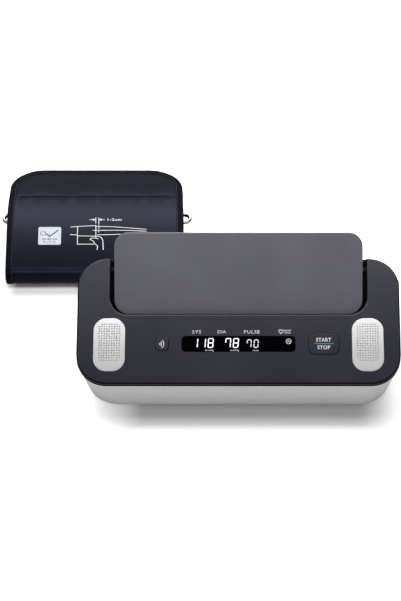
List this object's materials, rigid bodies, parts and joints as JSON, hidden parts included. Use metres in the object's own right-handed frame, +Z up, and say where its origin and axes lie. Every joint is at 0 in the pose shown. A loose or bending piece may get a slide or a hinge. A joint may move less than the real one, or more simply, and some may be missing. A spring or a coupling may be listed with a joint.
{
  "type": "arm blood pressure monitor",
  "caption": "Home arm blood pressure monitor with a sloped control face, a tilting phone stand, thumb electrodes and a folded wrap cuff.",
  "frame": {"origin": "under the middle of the whole set, monitor and cuff, on the surface that it stands on", "axes": "+Z up, the monitor's sloped face looks towards -Y and up, +X to the user's right"},
  "size_m": [0.3156, 0.2634, 0.0955],
  "materials": {
    "cover_plastic": "fine texture",
    "casing_plastic": "satin",
    "stand_plastic": "fine texture",
    "well_plastic": "fine texture",
    "display_acrylic": "polished",
    "electrode_steel": "bead blasted",
    "black_rubber": "matt",
    "inner_plastic": "moulded",
    "circuit_board": "solder mask",
    "chip_resin": "moulded",
    "steel": "turned",
    "motor_can": "drawn",
    "silicone": "translucent",
    "spring_nickel": "plated",
    "cell_jacket": "printed sleeve",
    "cuff_nylon": "plain weave",
    "cuff_tape": "woven tape",
    "cuff_lining": "brushed loop",
    "bladder_film": "film",
    "ring_chrome": "plated wire",
    "label_vinyl": "printed"
  },
  "bodies": {
    "monitor": {"top_cover": "cover_plastic", "lower_casing": "casing_plastic", "cradle_well": "well_plastic", "phone_ledge": "black_rubber", "stand_pins": "steel", "stand_bushes": "well_plastic", "stand_stops": "black_rubber", "display_lens": "display_acrylic", "display_module": "inner_plastic", "display_frame": "inner_plastic", "key_switches": "inner_plastic", "thumb_electrode_left": "electrode_steel", "thumb_electrode_right": "electrode_steel", "electrode_contacts": "spring_nickel", "main_board": "circuit_board", "board_screws": "steel", "board_chips": "chip_resin", "radio_module": "steel", "buzzer": "chip_resin", "pump_motor": "motor_can", "pump_head": "inner_plastic", "pump_mounts": "black_rubber", "air_manifold": "inner_plastic", "air_tubes": "silicone", "exhaust_valve": "motor_can", "pressure_sensor": "chip_resin", "air_jack": "well_plastic", "power_jack": "well_plastic", "battery_tray": "well_plastic", "battery_cells": "cell_jacket", "battery_springs": "spring_nickel", "battery_contacts": "spring_nickel", "rubber_feet": "black_rubber", "casing_screws": "steel"},
    "stand": {"phone_stand": "stand_plastic"},
    "start_button": {"start_stop_button": "cover_plastic"},
    "link_button": {"connection_button": "cover_plastic"},
    "battery_door": {"battery_door": "casing_plastic"},
    "cuff_ring": {"cuff_ring": "ring_chrome"},
    "cuff": {"cuff_wrap": "cuff_nylon", "cuff_binding": "cuff_tape", "cuff_inner_section": "cuff_lining", "cuff_bladder": "bladder_film", "cuff_hose_port": "well_plastic", "cuff_ring_loop": "cuff_tape", "cuff_hook_patch": "cuff_lining", "cuff_size_label": "label_vinyl"}
  },
  "joints": [
    {"name": "stand_tilt", "type": "hinge", "parent": "monitor", "child": "stand", "pos_m": [0.03844, -0.05439, 0.07298], "axis": [1, 0, 0], "range_deg": [-15, 0]},
    {"name": "start_press", "type": "slide", "parent": "monitor", "child": "start_button", "axis": [0, 0.5, -0.866], "range_m": [0, 0.0008], "stiffness_N_per_m": 2000, "springref_m": -0.0003},
    {"name": "link_press", "type": "slide", "parent": "monitor", "child": "link_button", "axis": [0, 0.5, -0.866], "range_m": [0, 0.0008], "stiffness_N_per_m": 2000, "springref_m": -0.0003},
    {"name": "battery_door_tip", "type": "hinge", "parent": "monitor", "child": "battery_door", "pos_m": [0.03844, -0.04981, 0.009], "axis": [1, 0, 0], "range_deg": [-75, 0]},
    {"name": "cuff_lift", "type": "slide", "parent": "monitor", "child": "cuff", "axis": [0, 0, 1], "range_m": [0, 0.12]},
    {"name": "ring_swing", "type": "hinge", "parent": "cuff", "child": "cuff_ring", "pos_m": [-0.07904, 0.07165, 0.0066], "axis": [1, 0, 0], "range_deg": [0, 30]}
  ]
}
